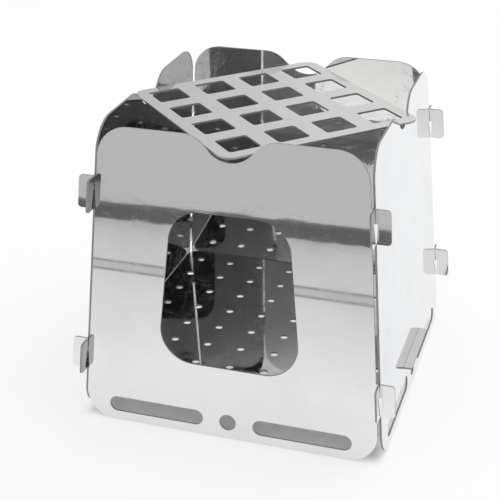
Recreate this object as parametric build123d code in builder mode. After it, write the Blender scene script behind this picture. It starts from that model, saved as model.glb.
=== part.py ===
from build123d import *
from math import asin, cos, sin, sqrt, tan
import os

# A flatpack wood stove cut from flat stainless sheet: four hooked walls that lean inwards, a
# perforated fire floor held between the side walls, and a pot grate lying cornerwise in the
# notches at the top. The origin is on the ground under the middle, the stoking side faces -Y.

# sheet, and the box over the outside faces of the walls
sheet = 0.9
base_width = 140.0
top_width = 118.2
wall_length = 139.0

# outline of one wall, with lengths up the slope from its bottom edge
bottom_corner_radius = 13.0
top_corner_radius = 14.0
shoulder_radius = 12.0
notch_radius = 12.0
corner_gap = 0.7

# hooked ears, two on each side of a wall
ear_reach = 6.4
ear_height = 14.8
lower_ear_start = 23.9
upper_ear_drop = 22.8
ear_corner_radius = 1.6
side_slit_depth = 6.4
slit_play = 0.3
slit_end_play = 0.2

# air openings along the foot of every wall
vent_level = 7.9
vent_height = 7.4
vent_inner_end = 11.6
vent_outer_end = 56.4
foot_hole_diameter = 7.7

# stoking window in the front wall
window_start = 34.2
window_drop = 33.6
window_foot_half_width = 32.8
window_head_half_width = 25.9
window_radius = 15.0

# fire floor
floor_level = 18.0
floor_clearance = 0.4
floor_corner_radius = 6.0
floor_border = 9.35
floor_hole_diameter = 3.8
floor_hole_count = 8
tongue_width = 37.6
tongue_reach = 3.8
tongue_corner_radius = 1.2
tongue_play = 0.15

# pot grate, with its corners reaching out past the faces of the walls
grate_drop = 6.9
grate_corner_reach = 7.55
grate_corner_radius = 6.0
grate_border = 5.6
grate_bar = 8.2
grate_hole_count = 4
grate_hole_radius = 1.4
grate_play = 0.15

# lean of the walls, from the widths at the foot and at the top
lean = asin((base_width - top_width) / 2 / wall_length)

# places measured down from the top edge of a wall
upper_ear_start = wall_length - upper_ear_drop - ear_height
window_end = wall_length - window_drop
grate_level = (wall_length - grate_drop) * cos(lean)


def outer(v):
    """Half width over the neighbouring walls, at a distance v up the slope."""
    return base_width / 2 - v * sin(lean)


def outer_at(z):
    """Distance from the middle to the outside face of a wall, at height z."""
    return base_width / 2 - (z - sheet * sin(lean)) * tan(lean)


# the grate spans the walls from corner to corner
grate_side = (outer_at(grate_level) + grate_corner_reach) * sqrt(2)
grate_holes_side = grate_side - 2 * grate_border - (grate_hole_count - 1) * grate_bar
grate_hole_side = grate_holes_side / grate_hole_count
grate_hole_pitch = grate_hole_side + grate_bar

# half width of a grate corner where it crosses the inside face of a wall, and the notch for it
seat_half_width = grate_corner_reach + sheet / cos(lean)
notch_point = grate_level / cos(lean) - seat_half_width - grate_play * sqrt(2)
notch_half_width = wall_length - notch_point


def wall_plane(turn):
    """Outside face of a wall: 0 is the front, 90 the right, 180 the rear, 270 the left."""
    front = Plane(
        origin=(0, -base_width / 2, sheet * sin(lean)),
        x_dir=(1, 0, 0),
        z_dir=(0, -cos(lean), sin(lean)),
    )
    return Plane(Rot(0, 0, turn) * front.location)


def wall_blank(slit_at_top):
    """One wall as cut from the sheet, with its ears slit from above or from below."""
    edge = sheet + corner_gap
    with BuildSketch() as blank:
        with BuildLine():
            Polyline(
                (0, 0),
                (outer(0) - edge, 0),
                (outer(wall_length) - edge, wall_length),
                (notch_half_width, wall_length),
                (0, notch_point),
                close=True,
            )
        make_face()
        fillet(blank.vertices().sort_by(Axis.X)[-1], bottom_corner_radius)
        head = blank.vertices().filter_by(lambda p: p.Y > wall_length - 0.01)
        fillet(head.sort_by(Axis.X)[-1], top_corner_radius)
        head = blank.vertices().filter_by(lambda p: p.Y > wall_length - 0.01)
        fillet(head.sort_by(Axis.X)[0], shoulder_radius)
        for start in (lower_ear_start, upper_ear_start):
            end = start + ear_height
            with BuildLine():
                Polyline(
                    (outer(start) - 2 * edge, start),
                    (outer(start) + ear_reach, start),
                    (outer(end) + ear_reach, end),
                    (outer(end) - 2 * edge, end),
                    close=True,
                )
            make_face()
        tips = blank.vertices().filter_by(lambda p: p.X > outer(p.Y) + ear_reach / 2)
        fillet(tips, ear_corner_radius)
        for start in (lower_ear_start, upper_ear_start):
            end = start + ear_height
            split = end - side_slit_depth
            low = split if slit_at_top else start
            high = end if slit_at_top else split + slit_end_play
            near = outer(high) - sheet - slit_play
            far = outer(low) + slit_play
            with BuildLine():
                Polyline((near, low), (far, low), (far, high), (near, high), close=True)
            make_face(mode=Mode.SUBTRACT)
        with Locations(((vent_inner_end + vent_outer_end) / 2, vent_level)):
            SlotOverall(vent_outer_end - vent_inner_end, vent_height, mode=Mode.SUBTRACT)
        mirror(about=Plane.YZ)
        with Locations((0, vent_level)):
            Circle(foot_hole_diameter / 2, mode=Mode.SUBTRACT)
        valley = blank.vertices().filter_by(lambda p: abs(p.X) < 0.01 and p.Y > 1)
        fillet(valley, notch_radius)
    return blank.sketch


# front wall, with the stoking window
with BuildPart() as front_panel:
    with BuildSketch(wall_plane(0)):
        add(wall_blank(slit_at_top=False))
        with BuildSketch(mode=Mode.SUBTRACT) as window:
            with BuildLine():
                Polyline(
                    (-window_foot_half_width, window_start),
                    (window_foot_half_width, window_start),
                    (window_head_half_width, window_end),
                    (-window_head_half_width, window_end),
                    close=True,
                )
            make_face()
            fillet(window.vertices(), window_radius)
    extrude(amount=-sheet)

# rear wall
with BuildPart() as rear_panel:
    with BuildSketch(wall_plane(180)):
        add(wall_blank(slit_at_top=False))
    extrude(amount=-sheet)

# side walls, each with a slot across the foot for the tongue of the fire floor
tongue_slot_height = sheet / cos(lean) + sheet * tan(lean) + 2 * tongue_play
tongue_slot_level = (floor_level + sheet / 2 - sheet / 2 * sin(lean)) / cos(lean)

with BuildPart() as right_panel:
    with BuildSketch(wall_plane(90)):
        add(wall_blank(slit_at_top=True))
        with Locations((0, tongue_slot_level)):
            Rectangle(tongue_width + 2 * tongue_play, tongue_slot_height, mode=Mode.SUBTRACT)
    extrude(amount=-sheet)

with BuildPart() as left_panel:
    with BuildSketch(wall_plane(270)):
        add(wall_blank(slit_at_top=True))
        with Locations((0, tongue_slot_level)):
            Rectangle(tongue_width + 2 * tongue_play, tongue_slot_height, mode=Mode.SUBTRACT)
    extrude(amount=-sheet)

# perforated fire floor, with a tongue through either side wall
floor_side = 2 * (outer_at(floor_level + sheet) - sheet / cos(lean) - floor_clearance)
tongue_span = 2 * (outer_at(floor_level) + tongue_reach)
floor_hole_pitch = (floor_side - 2 * floor_border) / (floor_hole_count - 1)

with BuildPart() as fire_floor:
    with BuildSketch(Plane.XY.offset(floor_level)):
        RectangleRounded(floor_side, floor_side, floor_corner_radius)
        RectangleRounded(tongue_span, tongue_width, tongue_corner_radius)
        with GridLocations(
            floor_hole_pitch, floor_hole_pitch, floor_hole_count, floor_hole_count
        ):
            Circle(floor_hole_diameter / 2, mode=Mode.SUBTRACT)
    extrude(amount=sheet)

# pot grate, turned so that each corner lies in a notch
grate_plane = Plane(origin=(0, 0, grate_level), x_dir=(1, 1, 0), z_dir=(0, 0, 1))

with BuildPart() as pot_grate:
    with BuildSketch(grate_plane):
        RectangleRounded(grate_side, grate_side, grate_corner_radius)
        with GridLocations(
            grate_hole_pitch, grate_hole_pitch, grate_hole_count, grate_hole_count
        ):
            RectangleRounded(
                grate_hole_side, grate_hole_side, grate_hole_radius, mode=Mode.SUBTRACT
            )
    extrude(amount=sheet)

front_panel.part.label = "front_panel"
rear_panel.part.label = "rear_panel"
right_panel.part.label = "right_panel"
left_panel.part.label = "left_panel"
fire_floor.part.label = "fire_floor"
pot_grate.part.label = "pot_grate"

os.makedirs("parts", exist_ok=True)
export_step(front_panel.part, "parts/front_panel.step")
export_step(rear_panel.part, "parts/rear_panel.step")
export_step(right_panel.part, "parts/right_panel.step")
export_step(left_panel.part, "parts/left_panel.step")
export_step(fire_floor.part, "parts/fire_floor.step")
export_step(pot_grate.part, "parts/pot_grate.step")
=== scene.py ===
from math import asin, cos, radians, sin

import bmesh
import bpy
from mathutils import Matrix, Vector

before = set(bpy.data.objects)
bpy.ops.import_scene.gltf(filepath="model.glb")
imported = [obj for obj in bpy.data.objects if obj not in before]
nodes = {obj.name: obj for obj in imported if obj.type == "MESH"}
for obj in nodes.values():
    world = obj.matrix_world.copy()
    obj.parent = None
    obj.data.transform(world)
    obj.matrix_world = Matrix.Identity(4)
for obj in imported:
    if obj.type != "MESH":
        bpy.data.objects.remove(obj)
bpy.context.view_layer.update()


# Side walls: two upright sheets of mirror-polished stainless steel, 0.9 mm thick, which lean
# inwards and carry the fire floor on its tongues. They are laser cut in one go, so the faces
# keep the mill's polish with fine wipe marks and scratches, and the cut edges are dull grey.
foot_width, head_width, wall_length = 140.0, 118.2, 139.0
wall_lean = asin((foot_width - head_width) / 2 / wall_length)


def join(tree, source, target):
    """Links two sockets, each given as (node, name or number)."""
    tree.links.new(source[0].outputs[source[1]], target[0].inputs[target[1]])


def make_node(tree, kind, inputs=(), **settings):
    """A shader node with its settings, and values for its unlinked sockets."""
    made = tree.nodes.new(kind)
    for key, value in settings.items():
        setattr(made, key, value)
    for key, value in dict(inputs).items():
        made.inputs[key].default_value = value
    return made


def calculate(tree, operation, *given):
    """A Math node whose inputs are numbers or (node, socket) pairs."""
    made = make_node(tree, "ShaderNodeMath", operation=operation)
    for place, value in enumerate(given):
        if isinstance(value, tuple):
            join(tree, value, (made, place))
        else:
            made.inputs[place].default_value = value
    return made, 0


def ramp_between(tree, value, low, high, start=0.0, end=1.0):
    """A smooth step from start to end while the value goes from low to high."""
    made = make_node(
        tree,
        "ShaderNodeMapRange",
        {"From Min": low, "From Max": high, "To Min": start, "To Max": end},
        interpolation_type="SMOOTHSTEP",
    )
    join(tree, value, (made, "Value"))
    return made, "Result"


def cloudiness(tree, place, size, detail=4.0, stretch=(1.0, 1.0, 1.0), shift=0.0):
    """Soft noise with patches of the given size in metres, stretched along the sheet."""
    laid = make_node(
        tree,
        "ShaderNodeMapping",
        {
            "Location": (shift, 0.0, -shift),
            "Scale": [size * factor for factor in stretch],
        },
        vector_type="TEXTURE",
    )
    join(tree, place, (laid, "Vector"))
    cloud = make_node(
        tree, "ShaderNodeTexNoise", {"Scale": 1.0, "Detail": detail, "Roughness": 0.6}
    )
    join(tree, (laid, "Vector"), (cloud, "Vector"))
    return cloud, 0


def scratch_lines(tree, place, angle, length, spacing, width, cover, shift):
    """Fine scratches that run one way over the sheet, in patches that cover part of it."""
    laid = make_node(
        tree,
        "ShaderNodeMapping",
        {
            "Location": (shift, 0.0, shift),
            "Rotation": (0.0, radians(angle), 0.0),
            "Scale": (length, 1.0, spacing),
        },
        vector_type="TEXTURE",
    )
    join(tree, place, (laid, "Vector"))
    wander = make_node(tree, "ShaderNodeTexNoise", {"Scale": 1.0, "Detail": 1.0})
    join(tree, (laid, "Vector"), (wander, "Vector"))
    off_line = calculate(tree, "ABSOLUTE", calculate(tree, "SUBTRACT", (wander, 0), 0.5))
    line = ramp_between(tree, off_line, 0.0, width, 1.0, 0.0)
    patch = cloudiness(tree, place, 0.021, 2.0, shift=shift + 0.3)
    patch = ramp_between(tree, patch, cover, cover + 0.08)
    return calculate(tree, "MULTIPLY", line, patch)


def polished_steel(
    name, facing, turn, colour, roughness, smudge, scratch, dust, back=None, dull_back=0.0
):
    """Mirror-polished sheet with dull cut edges. facing is the sheet's normal, and turn lays
    the sheet's own width along X and its height along Z, so the marks lie in the sheet.
    smudge, scratch and dust are how strong each kind of mark is, back is the colour of the
    inside, paler or darker than the outside as painted light or shade, and dull_back how far
    the inside keeps the mill's matt finish."""
    matt_roughness = 0.46
    edge_film = 0.75
    pale_edge = (0.36, 0.36, 0.36, 1.0)
    burnt_edge = (0.20, 0.197, 0.19, 1.0)
    marked_tint = (0.90, 0.90, 0.90, 1.0)
    relief_depth = 0.00002

    material = bpy.data.materials.new(name)
    material.use_nodes = True
    tree = material.node_tree
    shader = tree.nodes["Principled BSDF"]
    where = make_node(tree, "ShaderNodeTexCoord")
    turned = make_node(
        tree, "ShaderNodeMapping", {"Rotation": [radians(angle) for angle in turn]}
    )
    join(tree, (where, "Object"), (turned, "Vector"))
    place = (turned, "Vector")

    clouds = ramp_between(tree, cloudiness(tree, place, 0.034, 5.0), 0.42, 0.72)
    wipes = cloudiness(tree, place, 0.05, 3.0, (1.0, 1.0, 0.09), 0.7)
    wipes = ramp_between(tree, wipes, 0.40, 0.70)
    grain = cloudiness(tree, place, 0.0012, 2.0, (9.0, 1.0, 1.0), 0.2)

    lines = scratch_lines(tree, place, 24.0, 0.016, 0.0016, 0.010, 0.50, 0.11)
    for angle, length, spacing, width, cover, shift in (
        (-38.0, 0.011, 0.0013, 0.012, 0.54, 0.37),
        (71.0, 0.020, 0.0022, 0.008, 0.52, 0.53),
        (8.0, 0.034, 0.0030, 0.006, 0.50, 0.79),
    ):
        more = scratch_lines(tree, place, angle, length, spacing, width, cover, shift)
        lines = calculate(tree, "MAXIMUM", lines, more)
    lines = calculate(tree, "MULTIPLY", lines, scratch)

    # Cut edges and the inside of the sheet, told from the outside by their direction.
    across = make_node(tree, "ShaderNodeVectorMath", operation="DOT_PRODUCT")
    across.inputs[1].default_value = facing
    join(tree, (where, "Normal"), (across, 0))
    upright = calculate(tree, "ABSOLUTE", (across, "Value"))
    edge = calculate(tree, "LESS_THAN", upright, 0.5)
    inside = calculate(tree, "LESS_THAN", (across, "Value"), -0.5)
    behind = calculate(tree, "MULTIPLY", inside, dull_back)
    specks = ramp_between(tree, cloudiness(tree, place, 0.0011, 2.0, shift=0.9), 0.62, 0.72)
    patches = ramp_between(tree, cloudiness(tree, place, 0.019, 3.0, shift=0.4), 0.48, 0.66)
    dusty = calculate(tree, "MULTIPLY", calculate(tree, "MULTIPLY", specks, patches), dust)
    covered = calculate(tree, "MAXIMUM", calculate(tree, "MULTIPLY", edge, edge_film), behind)
    covered = calculate(tree, "MAXIMUM", covered, dusty)
    bare = calculate(tree, "SUBTRACT", 1.0, covered)
    join(tree, bare, (shader, "Metallic"))
    burn = ramp_between(tree, cloudiness(tree, place, 0.0005, 3.0), 0.35, 0.7)

    # Polish: wipe marks, cloudy patches and scratches each take some of it away.
    polish = calculate(tree, "MULTIPLY_ADD", wipes, smudge * 0.5, roughness)
    polish = calculate(tree, "MULTIPLY_ADD", clouds, smudge, polish)
    polish = calculate(tree, "MULTIPLY_ADD", lines, 0.30, polish)
    rough = make_node(tree, "ShaderNodeMix", {"B": matt_roughness}, data_type="FLOAT")
    join(tree, calculate(tree, "MAXIMUM", edge, behind), (rough, "Factor"))
    join(tree, polish, (rough, "A"))
    join(tree, (rough, "Result"), (shader, "Roughness"))

    # Colour: one for each side, where a paler or darker inside is painted light or shade, a
    # little greyer where it is marked, and the burnt edges.
    # The inside's colour is painted light or shade, not a different steel.
    side_colours_with_painted_light = make_node(tree, "ShaderNodeMix", data_type="RGBA")
    side_colours_with_painted_light.inputs["A"].default_value = (*colour, 1.0)
    side_colours_with_painted_light.inputs["B"].default_value = (*(back or colour), 1.0)
    join(tree, inside, (side_colours_with_painted_light, "Factor"))
    tints = make_node(tree, "ShaderNodeMix", data_type="RGBA", blend_type="MULTIPLY")
    tints.inputs["B"].default_value = marked_tint
    join(tree, (side_colours_with_painted_light, "Result"), (tints, "A"))
    marks = calculate(
        tree, "MULTIPLY_ADD", clouds, 0.45, calculate(tree, "MULTIPLY", lines, 0.6)
    )
    join(tree, marks, (tints, "Factor"))
    edges = make_node(tree, "ShaderNodeMix", data_type="RGBA")
    edges.inputs["A"].default_value = pale_edge
    edges.inputs["B"].default_value = burnt_edge
    join(tree, burn, (edges, "Factor"))
    whole = make_node(tree, "ShaderNodeMix", data_type="RGBA")
    join(tree, edge, (whole, "Factor"))
    join(tree, (tints, "Result"), (whole, "A"))
    join(tree, (edges, "Result"), (whole, "B"))
    join(tree, (whole, "Result"), (shader, "Base Color"))

    # Relief: the mill's grain, scratches that cut in, and the rough burnt edge.
    cuts = calculate(tree, "MULTIPLY", lines, -1.0)
    height = calculate(tree, "MULTIPLY_ADD", grain, 0.10, cuts)
    height = calculate(tree, "MULTIPLY_ADD", burn, edge, height)
    relief = make_node(
        tree, "ShaderNodeBump", {"Strength": 0.5, "Distance": relief_depth}
    )
    join(tree, height, (relief, "Height"))
    join(tree, (relief, "Normal"), (shader, "Normal"))
    return material


def dress(node, material):
    """Gives a CAD node its finish, in the material slots that it has."""
    for place in nodes[node].material_slots:
        place.material = material


dress(
    "right_panel",
    polished_steel(
        name="right_wall_steel",
        facing=(cos(wall_lean), 0.0, sin(wall_lean)),
        turn=(0.0, 0.0, -90.0),
        colour=(0.81, 0.82, 0.835),
        roughness=0.04,
        smudge=0.03,
        scratch=0.4,
        dust=0.2,
    ),
)
dress(
    "left_panel",
    polished_steel(
        name="left_wall_steel",
        facing=(-cos(wall_lean), 0.0, sin(wall_lean)),
        turn=(0.0, 0.0, 90.0),
        colour=(0.82, 0.82, 0.825),
        roughness=0.025,
        smudge=0.02,
        scratch=1.0,
        dust=0.5,
        # The inside is darker than the outside: painted shade.
        back=(0.42, 0.42, 0.425),
    ),
)


# Fire floor: a square of the same sheet with 8 by 8 round holes for air and ash, and a tongue
# on its left and right edge that slips into the slot of a side wall. It is as polished as the
# walls, with more small marks from handling, and mirrors the walls round it.
dress(
    "fire_floor",
    polished_steel(
        name="fire_floor_steel",
        facing=(0.0, 0.0, 1.0),
        turn=(90.0, 0.0, 0.0),
        colour=(0.80, 0.80, 0.80),
        roughness=0.022,
        smudge=0.02,
        scratch=0.8,
        dust=0.5,
    ),
)


# Front wall: the sheet with the stoking window. Its ears are slit from below and hook down
# into the slits of the side walls' ears, and a corner of the pot grate lies in its notch.
dress(
    "front_panel",
    polished_steel(
        name="front_wall_steel",
        facing=(0.0, -cos(wall_lean), sin(wall_lean)),
        turn=(0.0, 0.0, 0.0),
        colour=(0.815, 0.815, 0.815),
        roughness=0.022,
        smudge=0.010,
        scratch=0.08,
        dust=0.05,
        # The inside is pale and matt: painted light on a face that sits in the box's shade.
        back=(0.92, 0.92, 0.92),
        dull_back=0.95,
    ),
)


# Rear wall: the same sheet as the front wall, without a window. Its bare inside shows through
# the window and above the grate, where it mirrors the holes of the fire floor.
dress(
    "rear_panel",
    polished_steel(
        name="rear_wall_steel",
        facing=(0.0, cos(wall_lean), sin(wall_lean)),
        turn=(0.0, 0.0, 180.0),
        colour=(0.825, 0.82, 0.81),
        roughness=0.022,
        smudge=0.010,
        scratch=0.45,
        dust=0.4,
    ),
)


# Pot grate: a loose square of sheet with 4 by 4 square holes, lying cornerwise in the four
# notches. Its top is a little duller than the walls, from the pots that are set down on it.
dress(
    "pot_grate",
    polished_steel(
        name="pot_grate_steel",
        facing=(0.0, 0.0, 1.0),
        turn=(90.0, 0.0, 45.0),
        colour=(0.86, 0.86, 0.85),
        roughness=0.07,
        smudge=0.03,
        scratch=0.5,
        dust=0.15,
    ),
)


# Studio: a pale matt floor that also serves as backdrop. It glows a little to the camera and
# in reflections. Under the stove the glow is turned down as painted shade, and rises towards
# the back as painted light from the rear vents.
# None of it, nor the card, the lamp and the world below, belongs to the stove.
def plain_sheet(name, low, high, level):
    """A flat rectangle between two corners, facing up."""
    shape = bmesh.new()
    bmesh.ops.create_grid(shape, x_segments=1, y_segments=1, size=0.5)
    size = (high[0] - low[0], high[1] - low[1], 1.0)
    bmesh.ops.scale(shape, vec=size, verts=shape.verts)
    middle = ((low[0] + high[0]) / 2, (low[1] + high[1]) / 2, level)
    bmesh.ops.translate(shape, vec=middle, verts=shape.verts)
    mesh = bpy.data.meshes.new(name)
    shape.to_mesh(mesh)
    shape.free()
    made = bpy.data.objects.new(name, mesh)
    bpy.context.scene.collection.objects.link(made)
    return made


studio_floor = plain_sheet("studio_floor", (-4.0, -4.0), (4.0, 4.0), 0.0)
floor_paint = bpy.data.materials.new("floor_paint")
floor_paint.use_nodes = True
tree = floor_paint.node_tree
tree.nodes.clear()
matt = make_node(tree, "ShaderNodeBsdfDiffuse", {"Color": (0.97, 0.97, 0.97, 1.0)})
white = make_node(tree, "ShaderNodeEmission", {"Strength": 1.0})
ray = make_node(tree, "ShaderNodeLightPath")
shown = calculate(tree, "MAXIMUM", (ray, "Is Camera Ray"), (ray, "Is Glossy Ray"))
shown = calculate(tree, "MAXIMUM", shown, (ray, "Is Transmission Ray"))
where = make_node(tree, "ShaderNodeTexCoord")
apart = make_node(tree, "ShaderNodeSeparateXYZ")
join(tree, (where, "Object"), (apart, "Vector"))
from_middle = calculate(
    tree,
    "MAXIMUM",
    calculate(tree, "ABSOLUTE", (apart, "X")),
    calculate(tree, "ABSOLUTE", (apart, "Y")),
)
# Painted shade: the glow fades out under the walls, and under the stove a painted light rises
# from the front towards the back.
under_walls, clear_of_walls = 0.062, 0.073
clear = ramp_between(tree, from_middle, under_walls, clear_of_walls)
painted_vent_light = ramp_between(tree, (apart, "Y"), -0.058, 0.010, 0.03, 0.55)
glow = make_node(tree, "ShaderNodeMix", {"B": 0.70}, data_type="FLOAT")
join(tree, clear, (glow, "Factor"))
join(tree, painted_vent_light, (glow, "A"))
shown = calculate(tree, "MULTIPLY", shown, (glow, "Result"))
blend = make_node(tree, "ShaderNodeMixShader")
join(tree, shown, (blend, "Fac"))
join(tree, (matt, "BSDF"), (blend, 1))
join(tree, (white, "Emission"), (blend, 2))
outlet = make_node(tree, "ShaderNodeOutputMaterial")
join(tree, (blend, "Shader"), (outlet, "Surface"))
studio_floor.data.materials.append(floor_paint)

# The polished walls mirror the table in front of the stove: its surface greys towards its
# front edge, then come a dark worn edge and the grey floor of the room. A glowing card that
# only reflections see paints this in: a painted reflection.
table_far, table_near = -0.45, -0.13
table_card = plain_sheet("table_card", (-0.50, -1.10), (0.22, table_near), 0.0006)
card_paint = bpy.data.materials.new("card_paint")
card_paint.use_nodes = True
tree = card_paint.node_tree
tree.nodes.clear()
where = make_node(tree, "ShaderNodeTexCoord")
apart = make_node(tree, "ShaderNodeSeparateXYZ")
join(tree, (where, "Object"), (apart, "Vector"))
# The worn edge runs a little aslant and unevenly, and the thin strip before it runs straight.
far = ramp_between(tree, (apart, "Y"), -0.30, -0.34)
aslant = calculate(tree, "MULTIPLY_ADD", (apart, "X"), 0.06, 0.006)
worn = cloudiness(tree, (where, "Object"), 0.030, 4.0)
worn = calculate(tree, "MULTIPLY", calculate(tree, "SUBTRACT", worn, 0.5), 0.020)
aslant = calculate(tree, "MULTIPLY", calculate(tree, "ADD", aslant, worn), far)
run = make_node(
    tree,
    "ShaderNodeMapRange",
    {"From Min": table_far, "From Max": table_near},
    clamp=True,
)
join(tree, calculate(tree, "ADD", (apart, "Y"), aslant), (run, "Value"))
tones = make_node(tree, "ShaderNodeValToRGB")
# Each step is a distance along Y and the grey from there on.
room_floor = [(table_far, 0.575), (-0.4110, 0.575)]
worn_edge = [(-0.4080, 0.170), (-0.3950, 0.130), (-0.3670, 0.140)]
table_end = [(-0.3655, 0.500), (-0.3400, 0.620), (-0.3100, 0.680), (-0.2785, 0.720)]
far_line = [(-0.2775, 0.330), (-0.2742, 0.330)]
thin_strip = [(-0.2732, 0.590), (-0.2628, 0.600)]
near_line = [(-0.2618, 0.340), (-0.2588, 0.340)]
table_top = [
    (-0.2578, 0.740),
    (-0.2300, 0.800),
    (-0.2000, 0.845),
    (-0.1650, 0.905),
    (table_near, 0.960),
]
steps = room_floor + worn_edge + table_end + far_line + thin_strip + near_line + table_top
stops = tones.color_ramp.elements
while len(stops) < len(steps):
    stops.new(0.5)
for stop, (distance, grey) in zip(stops, steps):
    stop.position = (distance - table_far) / (table_near - table_far)
for stop, (distance, grey) in zip(stops, steps):
    stop.color = (grey, grey, grey, 1.0)
join(tree, (run, "Result"), (tones, "Fac"))
glow = make_node(tree, "ShaderNodeEmission", {"Strength": 1.0})
join(tree, (tones, "Color"), (glow, "Color"))
outlet = make_node(tree, "ShaderNodeOutputMaterial")
join(tree, (glow, "Emission"), (outlet, "Surface"))
table_card.data.materials.append(card_paint)
table_card.visible_camera = False
table_card.visible_diffuse = False
table_card.visible_shadow = False

# Lamp: one large soft disk behind and to the right, which the metal doesn't mirror.
lamp_data = bpy.data.lights.new("soft_lamp", "AREA")
lamp_data.shape = "DISK"
lamp_data.size = 1.6
lamp_data.energy = 14.0
soft_lamp = bpy.data.objects.new("soft_lamp", lamp_data)
bpy.context.scene.collection.objects.link(soft_lamp)
soft_lamp.location = (0.7, 0.5, 1.9)
soft_lamp.rotation_mode = "QUATERNION"
soft_lamp.rotation_quaternion = soft_lamp.location.to_track_quat("Z", "Y")
soft_lamp.visible_glossy = False

# The world is white to the camera and even to diffuse light. The metal alone mirrors a
# painted room that is greyer to the left, with a black flag in front, to the right, as
# painted shade that keeps the inside of the stove dark.
world = bpy.data.worlds.new("studio_world")
bpy.context.scene.world = world
world.use_nodes = True
tree = world.node_tree
tree.nodes.clear()
ray = make_node(tree, "ShaderNodeLightPath")
where = make_node(tree, "ShaderNodeTexCoord")
apart = make_node(tree, "ShaderNodeSeparateXYZ")
join(tree, (where, "Generated"), (apart, "Vector"))
towards_flag = make_node(tree, "ShaderNodeVectorMath", operation="DOT_PRODUCT")
towards_flag.inputs[1].default_value = (0.297, -0.864, 0.407)
join(tree, (where, "Generated"), (towards_flag, 0))
dark = ramp_between(tree, (towards_flag, "Value"), 0.935, 0.965)
bright = ramp_between(tree, (apart, "X"), -0.45, -0.12, 0.68, 0.95)
mirrored = make_node(tree, "ShaderNodeMix", {"B": 0.02}, data_type="FLOAT")
join(tree, dark, (mirrored, "Factor"))
join(tree, bright, (mirrored, "A"))
level = make_node(tree, "ShaderNodeMix", {"A": 0.94}, data_type="FLOAT")
join(tree, (ray, "Is Glossy Ray"), (level, "Factor"))
join(tree, (mirrored, "Result"), (level, "B"))
seen = make_node(tree, "ShaderNodeMix", {"B": 1.0}, data_type="FLOAT")
join(tree, (ray, "Is Camera Ray"), (seen, "Factor"))
join(tree, (level, "Result"), (seen, "A"))
air = make_node(tree, "ShaderNodeBackground")
join(tree, (seen, "Result"), (air, "Strength"))
outlet = make_node(tree, "ShaderNodeOutputWorld")
join(tree, (air, "Background"), (outlet, "Surface"))

# Camera: to the right of the window and looking down, as the photograph was taken.
azimuth, elevation, roll = radians(18.0285), radians(26.4516), radians(-0.6948)
target = Vector((-0.01114, 0.0, 0.05876))
target_distance = 0.57366
back = Vector(
    (sin(azimuth) * cos(elevation), -cos(azimuth) * cos(elevation), sin(elevation))
)
camera_data = bpy.data.cameras.new("photo_camera")
camera_data.lens = 86.76
camera_data.sensor_width = 36.0
camera_data.clip_start = 0.01
camera = bpy.data.objects.new("photo_camera", camera_data)
bpy.context.scene.collection.objects.link(camera)
turned = (-back).to_track_quat("-Z", "Y").to_matrix().to_4x4()
camera.matrix_world = (
    Matrix.Translation(target + back * target_distance)
    @ turned
    @ Matrix.Rotation(roll, 4, "Z")
)
bpy.context.scene.camera = camera
bpy.context.scene.view_settings.view_transform = "Standard"
